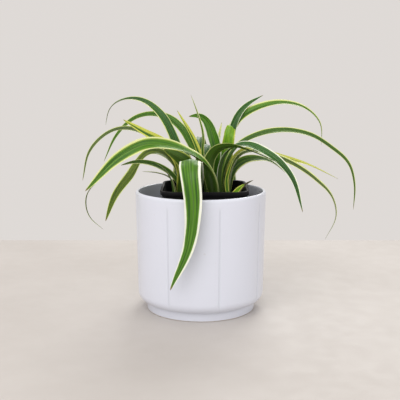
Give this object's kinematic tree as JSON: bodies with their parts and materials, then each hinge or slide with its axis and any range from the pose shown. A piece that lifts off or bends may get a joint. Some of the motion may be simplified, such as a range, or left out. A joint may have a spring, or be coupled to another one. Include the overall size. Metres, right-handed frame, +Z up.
{
  "type": "potted spider plant",
  "caption": "Striped arching spider plant in a square black nursery pot, standing in a round white glazed outer pot with upright panels.",
  "frame": {"origin": "on the outer pot's axis, at its underside, which is the surface it stands on", "axes": "+Z up out of the underside, +X along the leaves' longest spread, -Y towards the front, where the broad folded leaf hangs over the rim"},
  "size_m": [0.2594, 0.1839, 0.198],
  "materials": {
    "white_glaze": "gloss",
    "black_plastic": "satin",
    "potting_mix": "matte",
    "leaf_green": "satin",
    "dry_leaf": "matte"
  },
  "bodies": {
    "root": {"outer_pot": "white_glaze", "nursery_pot": "black_plastic", "potting_mix": "potting_mix", "leaf_front_fold": "leaf_green", "leaf_front_clasp": "leaf_green", "leaf_left_high": "leaf_green", "leaf_left_straight": "leaf_green", "leaf_left_outer_arch": "leaf_green", "leaf_left_low": "leaf_green", "leaf_left_droop": "leaf_green", "leaf_left_curl": "leaf_green", "leaf_left_short": "leaf_green", "leaf_left_inner": "leaf_green", "leaf_left_rear_arch": "leaf_green", "leaf_left_broad": "leaf_green", "leaf_centre_striped": "leaf_green", "leaf_centre_upright": "leaf_green", "leaf_centre_hook": "leaf_green", "leaf_centre_pale": "leaf_green", "leaf_centre_bright": "leaf_green", "leaf_right_rise": "leaf_green", "leaf_right_high": "leaf_green", "leaf_right_long": "leaf_green", "leaf_right_broad": "leaf_green", "leaf_right_under": "leaf_green", "leaf_right_curl": "leaf_green", "leaf_right_yellow": "leaf_green", "leaf_right_low": "leaf_green", "leaf_right_inner": "leaf_green", "leaf_right_young": "leaf_green", "dry_sheath": "dry_leaf", "leaf_back_left": "leaf_green", "leaf_back_long": "leaf_green", "leaf_back_centre": "leaf_green", "leaf_back_right": "leaf_green"}
  },
  "joints": []
}
